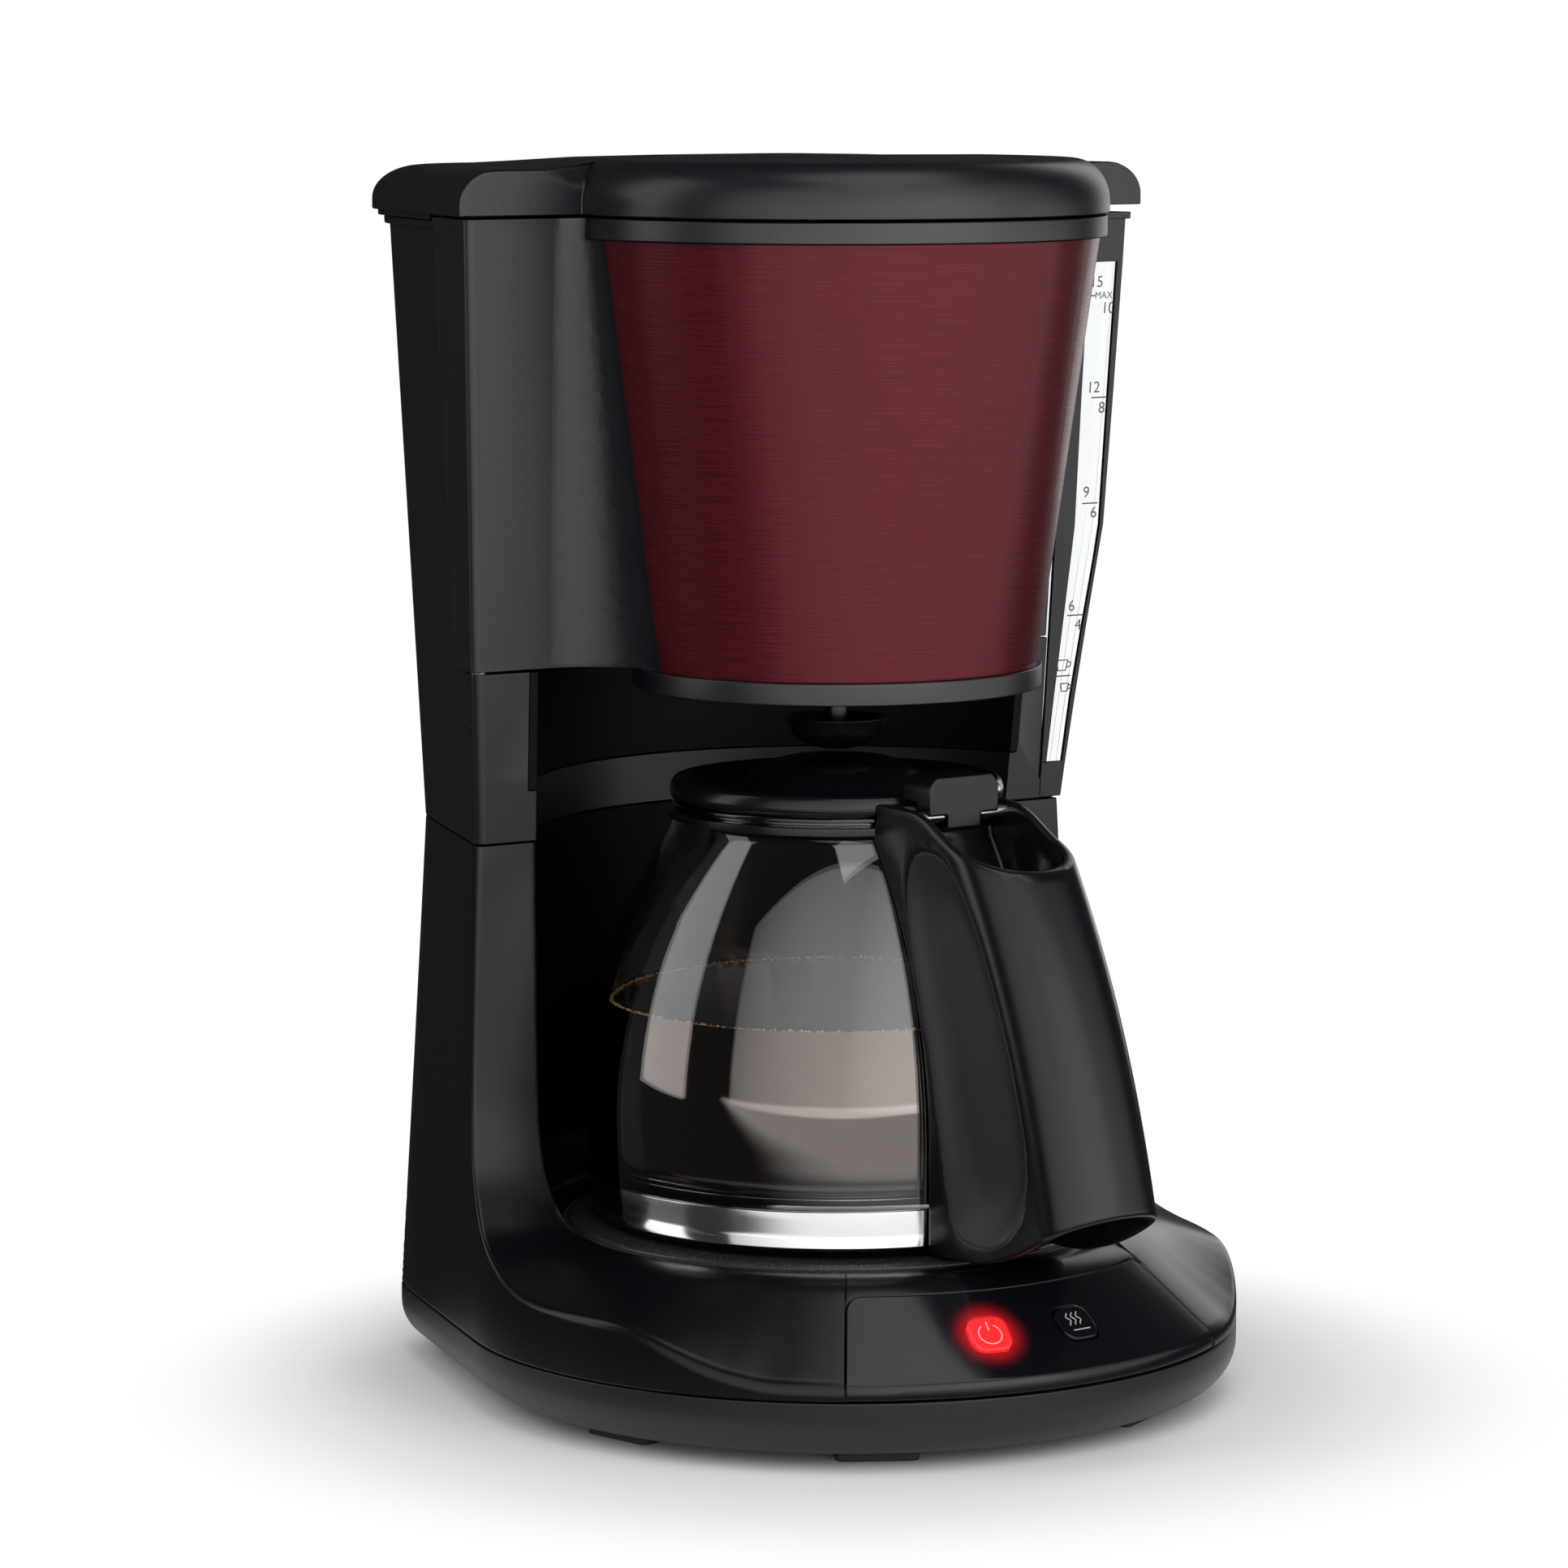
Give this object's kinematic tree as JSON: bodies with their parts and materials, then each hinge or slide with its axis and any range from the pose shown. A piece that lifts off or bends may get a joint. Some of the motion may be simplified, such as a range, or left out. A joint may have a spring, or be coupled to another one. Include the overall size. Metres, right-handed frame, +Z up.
{
  "type": "drip coffee maker",
  "caption": "Upright drip coffee maker: swing-out filter holder with a red brushed metal front, lidded glass jug on a warming plate, clear water tank and push-button panel.",
  "frame": {"origin": "middle of the footprint, on the surface it stands on", "axes": "+Z up, -Y to the front (handle and buttons), +X to the machine's left as seen from behind"},
  "size_m": [0.221, 0.2463, 0.338],
  "materials": {
    "satin_black": "fine satin moulded plastic",
    "gloss_black": "polished moulded plastic",
    "red_metal": "wine red lacquer over brushed metal",
    "clear_plastic": "clear moulded plastic",
    "clear_glass": "blown heat-proof glass",
    "lit_red": "translucent red, lit from behind",
    "soft_grip": "soft-touch rubber",
    "rubber": "moulded rubber",
    "silicone": "silicone",
    "aluminium": "bare",
    "steel": "plated",
    "plate_coat": "non-stick coating",
    "board_green": "circuit board",
    "basket_black": "moulded plastic"
  },
  "bodies": {
    "housing": {"base_pan": "satin_black", "rubber_feet": "rubber", "base_screws": "steel", "cord_gland": "satin_black", "lower_body": "satin_black", "control_panel": "gloss_black", "circuit_board": "board_green", "power_lamp": "lit_red", "warming_plate": "plate_coat", "plate_seal": "silicone", "heater_tube": "steel", "boiler_tube": "aluminium", "element_bracket": "steel", "thermostat": "steel", "thermal_fuses": "steel", "bracket_screw": "steel", "check_valve": "clear_plastic", "cold_hose": "silicone", "hot_riser": "silicone", "shower_head": "basket_black", "rear_housing": "satin_black", "niche_panel": "satin_black", "holder_pivot": "steel", "water_tank": "clear_plastic", "tank_screen": "basket_black", "lid_pins": "steel"},
    "power_button": {"power_button": "lit_red", "power_spring": "steel"},
    "keep_warm_button": {"keep_warm_button": "gloss_black", "keep_warm_spring": "steel"},
    "filter_holder": {"filter_holder": "satin_black", "red_panel": "red_metal", "filter_basket": "basket_black", "spring_cage": "basket_black"},
    "drip_stop": {"drip_bowl": "gloss_black", "drip_seal": "silicone", "drip_spring": "steel"},
    "top_lid": {"top_lid": "satin_black"},
    "check_ball": {"check_ball": "silicone"},
    "jug": {"jug_glass": "clear_glass", "neck_band": "satin_black", "jug_handle": "gloss_black", "grip_pad_left": "soft_grip", "grip_pad_right": "soft_grip", "handle_screw": "steel", "cover_pin": "steel"},
    "jug_cover": {"jug_cover": "gloss_black", "thumb_lever": "gloss_black", "lever_rivet": "steel"}
  },
  "joints": [
    {"name": "lid_hinge", "type": "hinge", "parent": "housing", "child": "top_lid", "pos_m": [0, 0.119, 0.3266], "axis": [-1, 0, 0], "range_deg": [0, 80]},
    {"name": "holder_swing", "type": "hinge", "parent": "housing", "child": "filter_holder", "pos_m": [-0.095, 0.0364, 0.25], "axis": [0, 0, -1], "range_deg": [0, 70]},
    {"name": "drip_stop_lift", "type": "slide", "parent": "filter_holder", "child": "drip_stop", "axis": [0, 0, 1], "range_m": [0, 0.004], "stiffness_N_per_m": 120},
    {"name": "power_press", "type": "slide", "parent": "housing", "child": "power_button", "axis": [0.1136, 0.6314, -0.7671], "range_m": [0, 0.0018], "stiffness_N_per_m": 300},
    {"name": "keep_warm_press", "type": "slide", "parent": "housing", "child": "keep_warm_button", "axis": [-0.0671, 0.638, -0.7671], "range_m": [0, 0.0018], "stiffness_N_per_m": 300},
    {"name": "check_ball_lift", "type": "slide", "parent": "housing", "child": "check_ball", "axis": [0, 0, 1], "range_m": [0, 0.004]},
    {"name": "jug_slide", "type": "slide", "parent": "housing", "child": "jug", "axis": [0, -1, 0], "range_m": [0, 0.26]},
    {"name": "cover_hinge", "type": "hinge", "parent": "jug", "child": "jug_cover", "pos_m": [0.00293, -0.05052, 0.1643], "axis": [0.9986, 0.0523, 0], "range_deg": [0, 2]}
  ]
}
